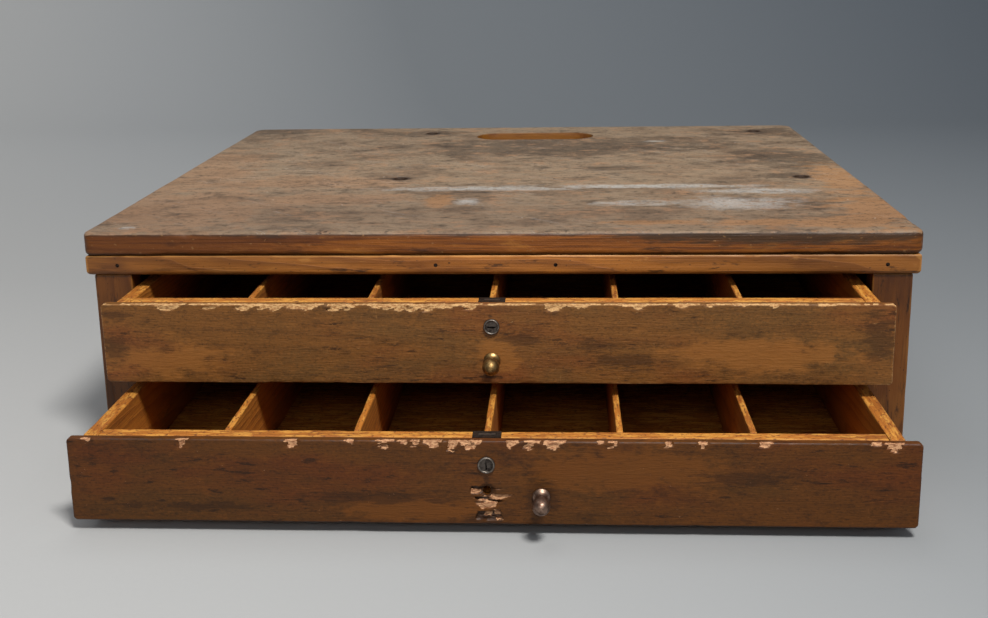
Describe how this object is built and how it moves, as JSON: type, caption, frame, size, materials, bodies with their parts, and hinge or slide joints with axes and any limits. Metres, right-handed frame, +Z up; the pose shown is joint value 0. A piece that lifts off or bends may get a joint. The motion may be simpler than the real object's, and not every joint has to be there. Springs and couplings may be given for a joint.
{
  "type": "coin display tray",
  "caption": "Low pine chest with a moulded top and divided coin drawers that slide out on runners, each with a knob and a key lock.",
  "frame": {"origin": "centre of the case's flat underside", "axes": "+Z up, -Y towards the drawer fronts, +X to the right seen from the front"},
  "size_m": [0.65, 0.7072, 0.19],
  "materials": {
    "weathered_top": "worn stain, grey and scratched",
    "case_pine": "old orange-brown varnish",
    "stained_front": "dark brown stain, chipped",
    "raw_pine": "bare, honey coloured",
    "steel": "dull grey",
    "brass": "worn bright",
    "dull_brass": "tarnished",
    "iron": "dark, rusted"
  },
  "bodies": {
    "case": {"top_board": "weathered_top", "moulding_front": "case_pine", "moulding_left": "case_pine", "moulding_right": "case_pine", "top_rail_front": "case_pine", "top_rail_back": "case_pine", "top_rail_left": "case_pine", "top_rail_right": "case_pine", "side_left": "case_pine", "side_right": "case_pine", "stile_left": "case_pine", "stile_right": "case_pine", "back_board": "case_pine", "bottom_board": "case_pine", "runner_left": "case_pine", "runner_right": "case_pine", "guide_upper_left": "case_pine", "guide_upper_right": "case_pine", "guide_lower_left": "case_pine", "guide_lower_right": "case_pine", "moulding_nails": "iron", "back_nails": "iron"},
    "upper_drawer": {"upper_front_board": "stained_front", "upper_box_front": "raw_pine", "upper_box_side_left": "raw_pine", "upper_box_side_right": "raw_pine", "upper_box_back": "raw_pine", "upper_box_bottom": "raw_pine", "upper_divider_1": "raw_pine", "upper_divider_2": "raw_pine", "upper_divider_3": "raw_pine", "upper_divider_4": "raw_pine", "upper_divider_5": "raw_pine", "upper_knob": "brass", "upper_lock_case": "steel", "upper_lock_cylinder": "steel", "upper_lock_screws": "iron", "upper_front_screws": "iron"},
    "upper_plug": {"upper_lock_plug": "steel"},
    "upper_bolt": {"upper_lock_bolt": "steel"},
    "lower_drawer": {"lower_front_board": "stained_front", "lower_box_front": "raw_pine", "lower_box_side_left": "raw_pine", "lower_box_side_right": "raw_pine", "lower_box_back": "raw_pine", "lower_box_bottom": "raw_pine", "lower_divider_1": "raw_pine", "lower_divider_2": "raw_pine", "lower_divider_3": "raw_pine", "lower_divider_4": "raw_pine", "lower_divider_5": "raw_pine", "lower_knob": "dull_brass", "lower_lock_case": "steel", "lower_lock_cylinder": "steel", "lower_lock_screws": "iron", "lower_front_screws": "iron"},
    "lower_plug": {"lower_lock_plug": "steel"},
    "lower_bolt": {"lower_lock_bolt": "steel"}
  },
  "joints": [
    {"name": "upper_drawer_slide", "type": "slide", "parent": "case", "child": "upper_drawer", "axis": [0, -1, 0], "range_m": [-0.0388, 0.3912]},
    {"name": "upper_key_turn", "type": "hinge", "parent": "upper_drawer", "child": "upper_plug", "pos_m": [-0.0012, -0.3218, 0.127], "axis": [0, -1, 0], "range_deg": [0, 90]},
    {"name": "upper_bolt_lift", "type": "slide", "parent": "upper_drawer", "child": "upper_bolt", "axis": [0, 0, 1], "range_m": [0, 0.0071]},
    {"name": "lower_drawer_slide", "type": "slide", "parent": "case", "child": "lower_drawer", "axis": [0, -1, 0], "range_m": [-0.1217, 0.3083]},
    {"name": "lower_key_turn", "type": "hinge", "parent": "lower_drawer", "child": "lower_plug", "pos_m": [-0.0012, -0.4047, 0.0535], "axis": [0, -1, 0], "range_deg": [0, 90]},
    {"name": "lower_bolt_lift", "type": "slide", "parent": "lower_drawer", "child": "lower_bolt", "axis": [0, 0, 1], "range_m": [0, 0.0071]}
  ],
  "couplings": [
    {"joint": "upper_bolt_lift", "follows": "upper_key_turn", "m_per_rad": 0.0045},
    {"joint": "lower_bolt_lift", "follows": "lower_key_turn", "m_per_rad": 0.0045}
  ]
}
